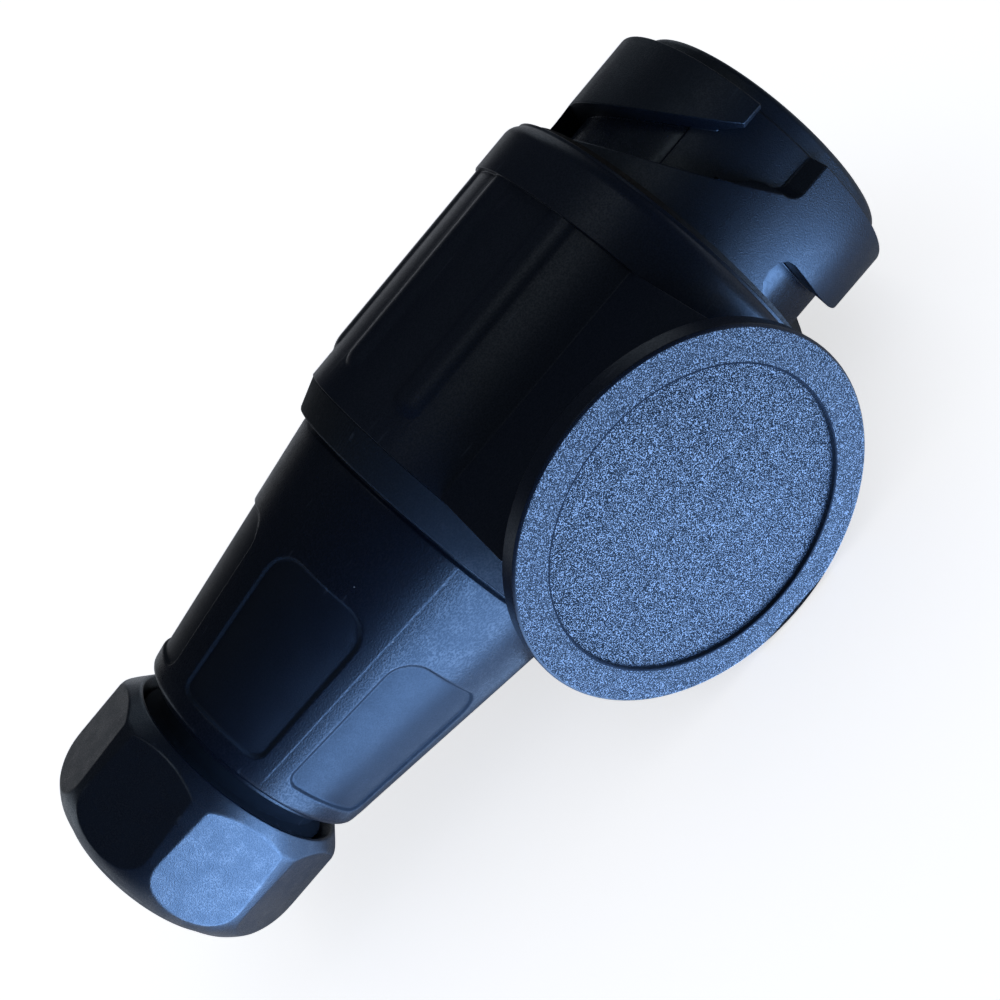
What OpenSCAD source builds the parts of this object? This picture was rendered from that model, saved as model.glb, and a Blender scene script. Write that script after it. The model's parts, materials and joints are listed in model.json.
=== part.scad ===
// Round trailer plug with bayonet nose, thumb disc and cable gland, lying on its side.
// Each piece is drawn on the plug's own axis, nose along +X, x = 0 at the rear end of the
// grip, thumb disc toward -Y. Turns about the axis count from the disc toward +Z.

/* [Grip] */
// Length of the ribbed grip, from its rear end to the collar
grip_len = 36.4; // [33:0.1:44]
// Radius of the grip between the ribs
grip_r = 26.75; // [26.2:0.05:28]
// Wall of the grip
grip_wall = 2.4; // [2:0.1:2.8]
// Height of the ribs over the grip
rib_h = 0.58; // [0.3:0.02:0.8]
// Width of a rib at its foot
rib_w = 4.7; // [3:0.1:6]
// Ribs around the grip
rib_n = 9; // [3:2:9]
// Turn from one rib to the next
rib_turn = 28.4; // [24:0.1:28.6]
// Plain stretch of grip behind the ribs
rib_gap = 4.4; // [2:0.1:10]

/* [Collar] */
// Length of the collar
collar_len = 8.4; // [6:0.1:12]
// Height of the collar over the grip
collar_h = 0.88; // [0.7:0.02:2]
// Rounding of the collar's front edge
collar_round = 2.3; // [0.5:0.05:2.5]
// Thickness of the rubber ring in front of the collar
gasket_t = 0.9; // [0.6:0.1:2]
// Width of the rubber ring
gasket_w = 1.5; // [0.6:0.05:2]

/* [Thumb disc] */
// Distance of the disc's face from the axis
disc_face = 38.9; // [34:0.1:44]
// Radius of the disc
disc_r = 25.65; // [22.5:0.05:27]
// Thickness of the disc
disc_t = 3.0; // [2.4:0.1:5]
// Bevel on the disc's edges
disc_bevel = 0.35; // [0.1:0.05:0.8]
// Radius of the round recess in the face
recess_r = 20.75; // [14:0.05:22]
// Depth of the recess
recess_d = 0.6; // [0.2:0.05:1]
// Half width of the block that carries the disc
block_half = 18.0; // [14:0.1:20]
// Wall of the block
block_wall = 2.4; // [1.8:0.1:3.5]

/* [Bayonet nose] */
// Radius of the nose
nose_r = 23.3; // [22.6:0.05:23.6]
// Length of the nose in front of the collar
nose_len = 18.1; // [17.4:0.1:24]
// Length of the nose inside the grip
nose_tail = 14.8; // [13.5:0.1:17]
// Stretch of the inner sleeve in front of the nose
lip_len = 2.7; // [1.5:0.1:5]
// Rounding of the sleeve's front edge
lip_round = 0.9; // [0.3:0.05:1]
// Depth of the bayonet slots
slot_depth = 3.1; // [2.4:0.05:3.4]
// Step in the slot floor at the entry
slot_step = 0.35; // [0.1:0.05:0.6]
// Wall left under the slot floor
sleeve_wall = 2.2; // [1.6:0.1:2.6]
// Bayonet slots around the nose
slot_n = 3; // [1:1:3]
// Turn of the entry's side wall
entry_turn = 17; // [12:0.5:22]
// Turn of the tongue's end
tongue_turn = 45.5; // [42:0.5:52]
// Turn at which the floor steps
step_turn = 61; // [54:0.5:70]
// Turn at which the slot runs level
lock_turn = 111; // [104:0.5:114]
// Turn of the slot's closed end
end_turn = 128.5; // [124:0.5:131]
// Width of the slot at its closed end
slot_w = 5.65; // [5:0.05:6.5]
// Plain nose between the rubber ring and the slot
slot_land = 0.1; // [0.05:0.05:1]
// Rise of the slot's front edge, from level to the tongue
front_rise = 8.2; // [7:0.1:9]
// Rise of the slot's rear edge, from level to the entry
rear_rise = 12.0; // [10:0.1:12.4]
// Rounding of the slot's inner corner at the entry
entry_round = 2.0; // [0.5:0.1:2.5]

/* [Rear shell] */
// Length of the band behind the grip
band_len = 4.75; // [3:0.05:8]
// Fall of the band's radius toward the rear
band_fall = 1.65; // [0.5:0.05:2]
// Step down from the band to the cone
band_step = 1.3; // [0.6:0.05:2]
// Length of the cone
cone_len = 41.2; // [36:0.1:48]
// Radius of the cone at its rear end
cone_end_r = 18.3; // [17.8:0.05:19]
// Wall of the cone
cone_wall = 2.2; // [1.9:0.1:2.6]
// Recessed panels around the cone
panel_n = 6; // [3:1:6]
// Turn of the first panel's middle
panel_turn = 54.5; // [45:0.5:65]
// Turn that a panel spans
panel_span = 45.5; // [30:0.5:50]
// Depth of the panels
panel_d = 0.65; // [0.3:0.05:1]
// Cone in front of the panels
panel_front = 14.0; // [10:0.1:18]
// Cone behind the panels
panel_rear = 3.3; // [2:0.1:6]
// Rounding of a panel's front corners
panel_round = 4.2; // [2:0.1:6]
// Height of the moulding line on the cone
seam_h = 0.22; // [0.1:0.02:0.4]
// Length of the spigot inside the grip
spigot_len = 9; // [7:0.1:10.5]
// Radius of the neck
neck_r = 15.7; // [15.2:0.05:16]
// Length of the neck behind the cone
neck_len = 12.5; // [10:0.1:13]
// Wall of the neck
neck_wall = 2.6; // [2:0.1:3]
// Depth of the bush's seat in the neck
seat_depth = 8.5; // [6:0.1:10]

/* [Gland nut] */
// Length of the nut
nut_len = 20.0; // [18.6:0.1:26]
// Radius of the nut over its corner lands
nut_r = 19.7; // [19.2:0.05:20.4]
// Distance of a flat from the axis
nut_flat = 18.72; // [18:0.02:19]
// Flats around the nut
nut_n = 8; // [6:1:10]
// Turn of the first corner land
nut_turn = 38; // [0:1:60]
// Width of the front chamfer, across the radius
nut_chamfer = 2.1; // [1:0.1:2.4]
// Radius of the nut's domed rear
nut_round = 11.6; // [10:0.1:14]
// Length of the nut's domed rear
nut_dome = 8.9; // [7:0.1:9.6]
// Bevel on the nut's rear edge
nut_bevel = 0.7; // [0.2:0.05:1]
// Gap between the cone and the nut when slack
nut_gap = 3.3; // [2:0.1:4]
// Thickness of the nut's end wall
nut_end = 4.5; // [3:0.1:5]
// Radius of the cable entry
cable_r = 7.5; // [5:0.1:9]
// Thread pitch of the nut
pitch = 2.0; // [1:0.1:3]

/* [Contact insert] */
// Radius of the insert's journal
journal_r = 14.5; // [14.2:0.05:15]
// Thickness of the web that carries the journal
web_t = 4.0; // [3:0.1:5]
// Distance of the insert's face behind the sleeve's front
face_depth = 17.0; // [15.5:0.1:17.4]
// Radius of the outer ring of contacts
ring_a_r = 11.4; // [11:0.05:11.7]
// Contacts in the outer ring
ring_a_n = 8; // [4:1:8]
// Radius of the inner ring of contacts
ring_b_r = 5.2; // [5:0.05:5.8]
// Contacts in the inner ring
ring_b_n = 5; // [3:1:5]
// Radius of a contact pin
pin_r = 1.25; // [0.9:0.05:1.5]
// Stretch of a pin in front of the insert's face
pin_out = 11.5; // [8:0.1:13]
// Radius of a contact's barrel
barrel_r = 2.1; // [1.9:0.05:2.2]
// Radius of the wire hole in a barrel
wire_r = 1.25; // [0.8:0.05:1.4]
// Length of the outer terminals
tier_a = 11.0; // [9:0.1:12]
// Length of the inner terminals behind the outer ones
tier_b = 11.0; // [9:0.1:13]
// Radius of the terminal screws
grub_r = 1.3; // [1:0.05:1.5]
// Turn of the insert between its stops
insert_travel = 90; // [60:1:110]

/* [Fits] */
// Gap around pieces that slide into one another and stay there
fit = 0.1; // [0.05:0.01:0.2]
// Running gap of the journal
run = 0.05; // [0.02:0.01:0.1]
// Clear gap between pieces that move past each other
clear = 0.3; // [0.25:0.05:0.5]

/* [Hidden] */
$fn = 96;
eps = 0.01;
over = 60;

collar_r = grip_r + collar_h;
rib_crest = grip_r + rib_h;
rib_round = (rib_w * rib_w / 4 + rib_h * rib_h) / (2 * rib_h);
disc_back = disc_face - disc_t;
disc_x = grip_len / 2;
bore_r = grip_r - grip_wall;
tail_bore_r = nose_r + fit;

collar_x = grip_len + collar_len;
ring_x = collar_x + nose_len;
lip_x = ring_x + lip_len;
tail_x = collar_x - nose_tail;
floor_r = nose_r - slot_depth;
lip_r = floor_r;
sleeve_r = floor_r - sleeve_wall;
face_x = lip_x - face_depth;
level_x = collar_x + gasket_t + slot_land;
front_x = level_x + slot_w;
flange_t = 2;
end_round = 6.5;
slot_pitch = 120;
entry_back = 12;
pull_a = -10;
pull_b = 65;
slot_steps = 14;

head_t = 4.3;
head_x = face_x - head_t;
web_front = head_x - clear;
web_rear = web_front - web_t;
head_r = sleeve_r - clear;
snap_t = 1.2;
snap_w = 1.6;
snap_seat = 0.8;
snap_gap = 6;
snap_lug = 0.6;
snap_land = 1.0;
journal_x = web_rear - clear - snap_t - snap_land;
oring_t = 1.5;
lug_edge = 0.8;
lug_in = journal_r + lug_edge;
lug_out = sleeve_r - lug_edge;
lug_span = 14;
lug_d = 1.4;
key_len = 8;
key_w = 5;
key_h = 1.8;
key_in = 0.8;

tier_a_x = journal_x - tier_a;
tier_b_x = tier_a_x - tier_b;
tier_over = 0.9;
tier_wall = 1.5;
tier_a_r = journal_r + tier_over;
tier_b_r = ring_b_r + barrel_r + tier_wall;
screw_r = 1.25;
screw_head_r = 2.2;
screw_head_t = 1.8;
screw_bite = 6;
drive_w = 0.6;
drive_d = 0.9;
screw_end = journal_x + screw_bite;
grub_len = 2.4;
grub_in = 3.2;
grub_a_x = tier_a_x + grub_in;
grub_b_x = tier_b_x + grub_in;
grub_slot_w = 0.5;
grub_slot_d = 0.7;
shoulder_t = 1.6;
pin_nose = 0.7;
wire_depth = 7.5;

shell_oring_t = 1.8;
spigot_r = bore_r - fit;
spigot_wall = 1.2;
spigot_bevel = 0.6;
spigot_in = spigot_r - shell_oring_t - fit - spigot_wall;
band_in = 0.15;
band_end_r = grip_r - band_fall;
cone_top_r = band_end_r - band_step;
cone_x = -band_len;
cone_end = cone_x - cone_len;
cone_slope = (cone_top_r - cone_end_r) / cone_len;
cone_bevel = 0.5;
seam_w = 0.5;
seam_in = 1.2;
neck_x = cone_end - neck_len;
neck_bore = neck_r - neck_wall;
seal_r = neck_bore - fit;
seal_grip = 1.0;
seal_bore = cable_r - seal_grip;
throat_r = seal_bore + 2 * seal_grip;
seal_head_r = neck_r - 0.3 * neck_wall;
seat_x = neck_x + seat_depth;
shell_oring_x = spigot_len / 2;

nut_front = cone_end - nut_gap;
nut_rear = nut_front - nut_len;
nut_shoulder = nut_rear + nut_end;
dome_x = nut_rear + nut_dome;
dome_end_r = nut_r - nut_round + sqrt(nut_round * nut_round - nut_dome * nut_dome);
nut_bore = neck_r + clear;
nut_travel = nut_gap - clear;
clamp_t = 1.8;
clamp_gap = 0.5;
entry_flare = 1.2;
chamfer_lean = 1.15;
clamp_x = nut_shoulder + clear;
clamp_r = nut_bore - clear;

roll = asin(collar_r / norm([disc_face, disc_r])) - atan2(disc_r, disc_face);
y_low = -disc_face * cos(roll) - disc_r * sin(roll);
mid_x = (lip_x + nut_rear) / 2;
mid_y = (collar_r + y_low) / 2;

pin_n = ring_a_n + ring_b_n;
pin_names = [for (i = [1 : pin_n]) str("contact_pin_", i)];

// Lays the plug on its collar and the rim of its disc, centred over the floor point.
module laid_down() {
    translate([-mid_x, -mid_y, collar_r]) rotate([roll, 0, 0]) children();
}

// Turns what faces the disc side to another turn about the axis.
module at_turn(a) {
    rotate([-a, 0, 0]) children();
}

// Turned solid, its profile drawn as radius and axial place.
module turned() {
    rotate([0, 90, 0]) rotate_extrude() children();
}

module span_box(r0, r1, x0, x1) {
    translate([r0, x0]) square([r1 - r0, x1 - x0]);
}

module ring_solid(r0, r1, x0, x1) {
    turned() span_box(r0, r1, x0, x1);
}

module rod(r, x0, x1) {
    translate([x0, 0, 0]) rotate([0, 90, 0]) cylinder(r = r, h = x1 - x0);
}

// Place of contact i: radius and turn.
function pin_ring(i) = i <= ring_a_n ? ring_a_r : ring_b_r;
function pin_turn(i) = i <= ring_a_n
    ? (i - 0.5) * 360 / ring_a_n
    : (i - ring_a_n - 0.5) * 360 / ring_b_n;
function pin_rear(i) = i <= ring_a_n ? tier_a_x : tier_b_x;
function pin_grub(i) = i <= ring_a_n ? grub_a_x : grub_b_x;
function pin_top(i) = i <= ring_a_n ? tier_a_r : tier_b_r;

module at_pin(i) {
    at_turn(pin_turn(i)) translate([0, -pin_ring(i), 0]) children();
}

// Edges of a bayonet slot at a turn, and their place across the pull of the slot's core.
function left_of(t, from) = max(0, (lock_turn - t) / (lock_turn - from));
function slot_front(t) = front_x + front_rise * pow(left_of(t, tongue_turn), 2);
function slot_rear(t) = level_x + rear_rise * pow(left_of(t, entry_turn), 2);
function across(t, pull) = nose_r * sin(t - pull);

// Long part of the slot: from inside the entry, past the tongue, to the round end.
module slot_long_outline() {
    t0 = tongue_turn - 9;
    t1 = end_turn - end_round;
    mid = (front_x + level_x) / 2;
    rear = [for (k = [0 : slot_steps])
        let(t = t0 + (t1 - t0) * k / slot_steps) [slot_rear(t), across(t, pull_b)]];
    tip = [for (u = [-60 : 30 : 60])
        [mid + slot_w / 2 * sin(u), across(t1 + end_round * cos(u), pull_b)]];
    front = [for (k = [0 : slot_steps])
        let(t = t1 + (tongue_turn - t1) * k / slot_steps) [slot_front(t), across(t, pull_b)]];
    mouth = [[ring_x + 5, across(tongue_turn, pull_b)], [ring_x + 5, across(t0, pull_b)]];
    polygon(concat(rear, tip, front, mouth));
}

// Entry part of the slot, open to the front, with its rounded inner corner.
module slot_entry_outline() {
    t1 = tongue_turn - 4;
    wall = across(entry_turn, pull_a);
    corner_t = entry_turn + 5;
    corner_x = slot_rear(corner_t);
    step = across(corner_t, pull_a) - wall;
    corner = [for (u = [0 : 15 : 90])
        [corner_x + entry_round * (1 - sin(u)), wall + step * (1 - cos(u))]];
    rear = [for (k = [1 : slot_steps])
        let(t = corner_t + (t1 - corner_t) * k / slot_steps) [slot_rear(t), across(t, pull_a)]];
    mouth = [[ring_x + 5, across(t1, pull_a)], [ring_x + 5, wall]];
    polygon(concat(corner, rear, mouth));
}

// Extrudes an outline of axial place and side step along the pull at a turn.
module pulled(pull) {
    at_turn(pull) rotate([90, 0, 0]) linear_extrude(height = over) children();
}

module wedge(t0, t1) {
    rotate([90, 0, 90]) linear_extrude(height = 2 * over)
        polygon([[0, 0],
            [-over * cos(t0), over * sin(t0)],
            [-over * cos((t0 + t1) / 2), over * sin((t0 + t1) / 2)],
            [-over * cos(t1), over * sin(t1)]]);
}

module bayonet_slot() {
    difference() {
        union() {
            pulled(pull_a) slot_entry_outline();
            pulled(pull_b) slot_long_outline();
        }
        rod(floor_r, 0, 2 * over);
        intersection() {
            rod(floor_r + slot_step, 0, ring_x);
            wedge(entry_turn - entry_back, step_turn);
        }
    }
}

module rib() {
    len = grip_len - rib_gap - rib_w / 2 + eps;
    translate([grip_len + eps - len, -(rib_crest - rib_round), 0]) rotate([0, 90, 0])
        rotate_extrude() {
            square([rib_round, len]);
            intersection() {
                circle(rib_round);
                translate([0, -rib_round]) square([rib_round, rib_round]);
            }
        }
}

module grip_body() {
    color("#1d2129") laid_down() difference() {
        union() {
            ring_solid(0, grip_r, 0, collar_x - eps);
            turned() {
                span_box(0, collar_r, grip_len, collar_x - collar_round);
                span_box(0, collar_r - collar_round, grip_len, collar_x);
                translate([collar_r - collar_round, collar_x - collar_round]) circle(collar_round);
            }
            for (k = [-(rib_n - 1) / 2 : (rib_n - 1) / 2]) at_turn(180 + k * rib_turn) rib();
            translate([0, -disc_back - eps, -block_half])
                cube([grip_len, disc_back + eps, 2 * block_half]);
            translate([disc_x, -disc_back, 0]) rotate([90, 0, 0]) rotate_extrude() polygon([
                [0, 0], [disc_r - disc_bevel, 0], [disc_r, disc_bevel],
                [disc_r, disc_t - disc_bevel], [disc_r - disc_bevel, disc_t], [0, disc_t]]);
        }
        translate([disc_x, -disc_face + recess_d, 0]) rotate([90, 0, 0])
            cylinder(r = recess_r, h = disc_t);
        rod(bore_r, -1, tail_x);
        rod(tail_bore_r, tail_x - eps, collar_x + 1);
        translate([block_wall, -disc_back, block_wall - block_half])
            cube([grip_len - 2 * block_wall, disc_back, 2 * (block_half - block_wall)]);
    }
}

module bayonet_nose() {
    color("#20252e") laid_down() difference() {
        turned() {
            span_box(0, nose_r, tail_x - eps, ring_x);
            span_box(0, bore_r - fit, tail_x - flange_t, tail_x);
            span_box(0, lip_r, ring_x - 1, lip_x - lip_round);
            span_box(0, lip_r - lip_round, ring_x - 1, lip_x);
            translate([lip_r - lip_round, lip_x - lip_round]) circle(lip_round);
        }
        rod(sleeve_r, web_front, lip_x + 1);
        rod(journal_r + run, tail_x - over, lip_x + 1);
        rod(sleeve_r, tail_x - over, web_rear);
        intersection() {
            ring_solid(lug_in - clear, lug_out + clear, web_front - lug_d - clear, web_front + 1);
            wedge(-lug_span / 2 - 2, lug_span / 2 + insert_travel + 2);
        }
        for (k = [0 : slot_n - 1]) at_turn(-slot_pitch * k) bayonet_slot();
    }
}

module face_gasket() {
    color("#101114") laid_down()
        ring_solid(nose_r + fit, nose_r + fit + gasket_w, collar_x, collar_x + gasket_t);
}

// Radius of the cone at an axial place.
function cone_r(x) = cone_end_r + cone_slope * (x - cone_end);

module panel_cut() {
    x0 = cone_end + panel_rear;
    x1 = cone_x - panel_front;
    half0 = cone_r(x0) * sin(panel_span / 2);
    half1 = cone_r(x1) * sin(panel_span / 2);
    half2 = half1 - (half1 - half0) * panel_round / (x1 - x0);
    difference() {
        rotate([90, 0, 0]) linear_extrude(height = over) {
            polygon([[x0, -half0], [x1 - panel_round, -half2], [x1 - panel_round, half2], [x0, half0]]);
            translate([x1 - panel_round - eps, panel_round - half2])
                square([panel_round + eps, 2 * (half2 - panel_round)]);
            for (s = [-1, 1]) intersection() {
                translate([x1 - panel_round, s * (half2 - panel_round)]) circle(panel_round);
                translate([x1 - panel_round - eps, -over]) square([over, 2 * over]);
            }
        }
        turned() polygon([
            [0, cone_end - 1], [cone_r(cone_end - 1) - panel_d, cone_end - 1],
            [cone_r(cone_x + 1) - panel_d, cone_x + 1], [0, cone_x + 1]]);
    }
}

// Fine moulding line along the cone.
module seam_line() {
    lean = atan(cone_slope);
    translate([cone_end + seam_in, -cone_r(cone_end + seam_in), 0]) rotate([0, 0, -lean])
        translate([0, -seam_h, -seam_w / 2]) cube([(cone_len - seam_in) / cos(lean), 3 * seam_h, seam_w]);
}

module rear_shell() {
    color("#222834") laid_down() difference() {
        union() {
            turned() polygon([
                [0, spigot_len], [spigot_r - spigot_bevel, spigot_len], [spigot_r, spigot_len - spigot_bevel],
                [spigot_r, 0], [grip_r - band_in, 0], [band_end_r, cone_x], [cone_top_r, cone_x],
                [cone_end_r, cone_end + cone_bevel], [cone_end_r - cone_bevel, cone_end], [0, cone_end]]);
            rod(neck_r, neck_x, cone_end + 1);
            for (k = [0, 1]) at_turn(panel_turn - 30 + 180 * k) seam_line();
        }
        for (k = [0 : panel_n - 1]) at_turn(panel_turn + 360 / panel_n * k) panel_cut();
        turned() polygon([
            [0, spigot_len + 1], [spigot_in, spigot_len + 1],
            [spigot_in, 0], [cone_top_r - cone_wall - panel_d, cone_x],
            [cone_end_r - cone_wall - panel_d, cone_end + cone_wall], [throat_r, cone_end + cone_bevel],
            [throat_r, neck_x - 1], [0, neck_x - 1]]);
        rod(neck_bore, neck_x - 1, seat_x);
        ring_solid(spigot_r - shell_oring_t - fit, over,
            shell_oring_x - shell_oring_t / 2 - fit, shell_oring_x + shell_oring_t / 2 + fit);
    }
}

module shell_oring() {
    color("#0d0e10") laid_down() turned()
        translate([spigot_r - shell_oring_t / 2, shell_oring_x]) circle(shell_oring_t / 2);
}

module gland_nut() {
    flat_step = 360 / nut_n;
    color("#1f252f") laid_down() difference() {
        intersection() {
            turned() difference() {
                polygon([[0, nut_front], [nut_r - nut_chamfer, nut_front],
                    [nut_r, nut_front - nut_chamfer * chamfer_lean], [nut_r, nut_rear + 2 * nut_bevel],
                    [dome_end_r + nut_bevel, nut_rear + 2 * nut_bevel],
                    [dome_end_r - nut_bevel, nut_rear], [0, nut_rear]]);
                difference() {
                    span_box(nut_r - nut_round, over, nut_rear - 1, dome_x);
                    translate([nut_r - nut_round, dome_x]) circle(nut_round);
                }
            }
            at_turn(nut_turn) rotate([0, 90, 0]) translate([0, 0, nut_rear - 1]) rotate([0, 0, 90])
                cylinder(r = nut_flat / cos(flat_step / 2), h = nut_len + 2, $fn = nut_n);
        }
        rod(nut_bore, nut_shoulder, nut_front + 1);
        rod(cable_r, nut_rear - 1, nut_front);
        turned() polygon([[0, nut_rear - eps], [cable_r + entry_flare, nut_rear - eps],
            [cable_r, nut_rear + entry_flare], [0, nut_rear + entry_flare]]);
    }
}

module clamp_ring() {
    color("#c9c3b4") laid_down() ring_solid(cable_r + clamp_gap, clamp_r, clamp_x, clamp_x + clamp_t);
}

module cable_seal() {
    color("#18191c") laid_down() difference() {
        union() {
            rod(seal_r, neck_x, seat_x - fit);
            rod(seal_head_r, clamp_x + clamp_t + clear, neck_x);
        }
        rod(seal_bore, clamp_x, seat_x + 1);
    }
}

module contact_hole(i) {
    at_pin(i) {
        rod(pin_r + fit, head_x - over, face_x + 1);
        rod(barrel_r + fit, pin_rear(i) - 1, head_x + shoulder_t + fit);
    }
}

module contact_carrier() {
    groove_x = head_x + head_t / 2;
    color("#2a2d33") laid_down() difference() {
        union() {
            rod(head_r, head_x, face_x);
            rod(journal_r, journal_x, head_x + eps);
            intersection() {
                ring_solid(lug_in, lug_out, head_x - clear - lug_d, head_x + eps);
                wedge(-lug_span / 2, lug_span / 2);
            }
        }
        for (i = [1 : pin_n]) contact_hole(i);
        ring_solid(head_r - oring_t - fit, over, groove_x - oring_t / 2 - fit, groove_x + oring_t / 2 + fit);
        ring_solid(journal_r - snap_seat, over, web_rear - clear - snap_t - fit, web_rear - clear + fit);
        rod(screw_r + fit, journal_x - 1, screw_end + fit);
    }
}

// Key on the insert's face that lets the plug into its socket one way round only.
module coding_key() {
    color("#2a2d33") laid_down() translate([face_x, key_in - head_r, -key_w / 2])
        cube([key_len, key_h, key_w]);
}

module insert_oring() {
    groove_x = head_x + head_t / 2;
    color("#0d0e10") laid_down() turned()
        translate([head_r - oring_t / 2, groove_x]) circle(oring_t / 2);
}

module retaining_ring() {
    x1 = web_rear - clear;
    color("#b8bcc2") laid_down() difference() {
        ring_solid(journal_r - snap_seat + fit, journal_r - snap_seat + fit + snap_w + snap_lug, x1 - snap_t, x1);
        translate([x1 - 2 * snap_t, -over, -snap_gap / 2]) cube([3 * snap_t, over, snap_gap]);
    }
}

module grub_place(i) {
    at_turn(pin_turn(i)) translate([pin_grub(i), 0, 0]) rotate([90, 0, 0]) children();
}

module terminal_block() {
    color("#33363c") laid_down() difference() {
        union() {
            rod(tier_a_r, tier_a_x, journal_x);
            rod(tier_b_r, tier_b_x, tier_a_x + eps);
        }
        for (i = [1 : pin_n]) {
            contact_hole(i);
            grub_place(i) cylinder(r = grub_r + fit, h = over);
        }
        rod(screw_r + fit, tier_b_x - 1, journal_x + 1);
        rod(screw_head_r + fit, tier_b_x - 1, tier_b_x + screw_head_t);
    }
}

module contact_pin(i) {
    tip = pin_r * pin_nose;
    len = face_x + pin_out;
    color("#c9a14a") laid_down() at_pin(i) difference() {
        union() {
            rod(barrel_r, pin_rear(i) + clear, head_x + shoulder_t);
            turned() {
                span_box(0, pin_r, head_x, len - tip);
                span_box(0, pin_r - tip, head_x, len);
                intersection() {
                    translate([pin_r - tip, len - tip]) circle(tip);
                    span_box(0, pin_r, head_x, len);
                }
            }
        }
        rod(wire_r, pin_rear(i) - 1, pin_rear(i) + wire_depth);
        translate([pin_grub(i), 0, 0]) rotate([90, 0, 0]) cylinder(r = grub_r + fit, h = over);
    }
}

module terminal_screws() {
    color("#c4c8cc") laid_down() for (i = [1 : pin_n]) {
        foot = pin_ring(i) + wire_r;
        top = min(foot + grub_len, pin_top(i));
        grub_place(i) difference() {
            translate([0, 0, foot]) cylinder(r = grub_r, h = top - foot);
            translate([-over, -grub_slot_w / 2, top - grub_slot_d]) cube([2 * over, grub_slot_w, grub_len]);
        }
    }
}

module insert_screw() {
    color("#c4c8cc") laid_down() difference() {
        union() {
            rod(screw_head_r, tier_b_x + fit, tier_b_x + screw_head_t);
            rod(screw_r, tier_b_x + drive_d, screw_end);
        }
        translate([tier_b_x - drive_d, -over, -drive_w / 2]) cube([2 * drive_d, 2 * over, drive_w]);
    }
}

grip_body();
bayonet_nose();
face_gasket();
rear_shell();
gland_nut();
contact_carrier();
coding_key();
terminal_block();
terminal_screws();
insert_screw();
retaining_ring();
insert_oring();
shell_oring();
cable_seal();
clamp_ring();
for (i = [1 : pin_n]) {
    contact_pin(i);
}
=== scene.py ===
import json
import math
import bpy
import numpy as np
from mathutils import Matrix, Vector


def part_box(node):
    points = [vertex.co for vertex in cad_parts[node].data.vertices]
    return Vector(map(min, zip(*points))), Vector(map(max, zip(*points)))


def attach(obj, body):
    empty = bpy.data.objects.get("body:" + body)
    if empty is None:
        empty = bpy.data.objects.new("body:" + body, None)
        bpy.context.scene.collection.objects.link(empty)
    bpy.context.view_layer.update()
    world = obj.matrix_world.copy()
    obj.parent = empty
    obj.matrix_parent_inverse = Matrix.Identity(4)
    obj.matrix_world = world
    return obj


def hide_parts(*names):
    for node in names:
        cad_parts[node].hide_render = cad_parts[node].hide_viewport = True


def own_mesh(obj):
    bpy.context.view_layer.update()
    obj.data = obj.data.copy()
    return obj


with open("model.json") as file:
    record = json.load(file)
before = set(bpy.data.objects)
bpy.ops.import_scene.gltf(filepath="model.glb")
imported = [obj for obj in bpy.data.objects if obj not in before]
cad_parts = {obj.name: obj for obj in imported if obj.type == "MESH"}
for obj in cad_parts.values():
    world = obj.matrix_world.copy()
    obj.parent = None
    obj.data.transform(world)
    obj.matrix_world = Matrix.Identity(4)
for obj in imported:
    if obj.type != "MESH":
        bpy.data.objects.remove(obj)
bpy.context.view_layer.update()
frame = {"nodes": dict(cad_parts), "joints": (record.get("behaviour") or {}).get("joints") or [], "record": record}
nodes = frame["nodes"]
record = frame["record"]
mm = 0.001
print("frame loaded:", len(nodes), "nodes")

# the plug's own axis in the frame: nose along +x, disc toward -y, leaned by a small roll
axisPoint = Vector(next(j["pos_m"] for j in frame["joints"] if j["name"] == "insert_turn"))
discMount = next(m for m in record["mounts"] if m["name"] == "disc_face")
discWay = Vector(discMount["axis"])
discOut = (Vector(discMount["pos_m"]) - axisPoint).dot(discWay) / mm
discAlong = (discMount["pos_m"][0] - axisPoint.x) / mm
plugRoll = math.atan2(-discWay.z, -discWay.y)
plugTurn = Matrix.Rotation(plugRoll, 3, "X")


# small helpers for shader trees

def fill(tree, node, values):
    for key, value in (values or {}).items():
        if isinstance(value, bpy.types.NodeSocket):
            tree.links.new(value, node.inputs[key])
        else:
            node.inputs[key].default_value = value
    return node


def put(tree, kind, values=None, **settings):
    node = tree.nodes.new(kind)
    for key, value in settings.items():
        setattr(node, key, value)
    return fill(tree, node, values)


def placed(tree, group, values=None):
    return put(tree, "ShaderNodeGroup", values, node_tree=group).outputs


def calc(tree, operation, a, b=0.0, clamp=False):
    return put(tree, "ShaderNodeMath", {0: a, 1: b}, operation=operation, use_clamp=clamp).outputs[0]


def ease(tree, value, low, high):
    values = {"Value": value, "From Min": low, "From Max": high}
    return put(tree, "ShaderNodeMapRange", values, interpolation_type="SMOOTHSTEP").outputs[0]


def blendValue(tree, share, a, b):
    return put(tree, "ShaderNodeMix", {0: share, 2: a, 3: b}, data_type="FLOAT").outputs[0]


def blendColor(tree, share, a, b):
    return put(tree, "ShaderNodeMix", {0: share, 6: a, 7: b}, data_type="RGBA").outputs[2]


def makeGroup(name, takes, gives):
    group = bpy.data.node_groups.new(name, "ShaderNodeTree")
    for socket, start in takes.items():
        made = group.interface.new_socket(name=socket, in_out="INPUT", socket_type="NodeSocketFloat")
        made.default_value = start
    for socket in gives:
        group.interface.new_socket(name=socket, in_out="OUTPUT", socket_type="NodeSocketFloat")
    return group, group.nodes.new("NodeGroupInput").outputs, group.nodes.new("NodeGroupOutput").inputs


def objectPlace(tree, scale):
    place = put(tree, "ShaderNodeTexCoord").outputs["Object"]
    return put(tree, "ShaderNodeVectorMath", {0: place, "Scale": scale}, operation="SCALE").outputs[0]


def cloudNoise(tree, place, detail):
    return put(tree, "ShaderNodeTexNoise", {"Vector": place, "Scale": 1.0, "Detail": detail}).outputs[0]


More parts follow.
